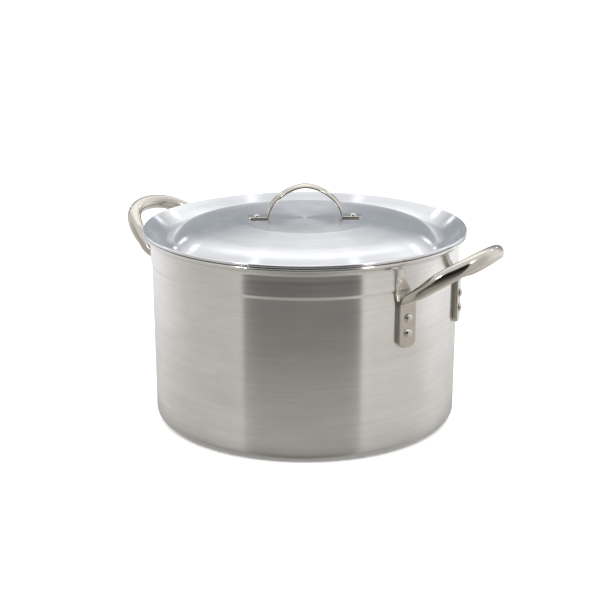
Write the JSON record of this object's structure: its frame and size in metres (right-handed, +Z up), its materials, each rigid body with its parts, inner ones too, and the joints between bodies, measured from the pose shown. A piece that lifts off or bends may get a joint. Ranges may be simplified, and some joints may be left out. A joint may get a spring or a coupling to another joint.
{
  "type": "stock pot",
  "caption": "Round lidded aluminium cooking pot with riveted tube loop handles on its sides and a strap handle on its sunken lid.",
  "frame": {"origin": "centre of the flat underside of the base", "axes": "+Z up along the pot's axis; the two side handles stand out along +X and -X"},
  "size_m": [0.4034, 0.3076, 0.2246],
  "materials": {
    "spun_aluminium": "satin, fine lines around the axis left by spinning",
    "polished_steel": "polished stainless steel",
    "rivet_aluminium": "smooth pressed heads"
  },
  "bodies": {
    "pot": {"pot_body": "spun_aluminium", "side_handle_right": "polished_steel", "side_handle_left": "polished_steel", "rivet_right_a_lower": "rivet_aluminium", "rivet_right_a_upper": "rivet_aluminium", "rivet_right_b_lower": "rivet_aluminium", "rivet_right_b_upper": "rivet_aluminium", "rivet_left_a_lower": "rivet_aluminium", "rivet_left_a_upper": "rivet_aluminium", "rivet_left_b_lower": "rivet_aluminium", "rivet_left_b_upper": "rivet_aluminium"},
    "lid": {"lid_shell": "spun_aluminium", "lid_handle": "polished_steel", "lid_rivet_a": "rivet_aluminium", "lid_rivet_b": "rivet_aluminium"}
  },
  "joints": [
    {"name": "lid_lift", "type": "slide", "parent": "pot", "child": "lid", "axis": [0, 0, 1], "range_m": [0, 0.25]}
  ]
}
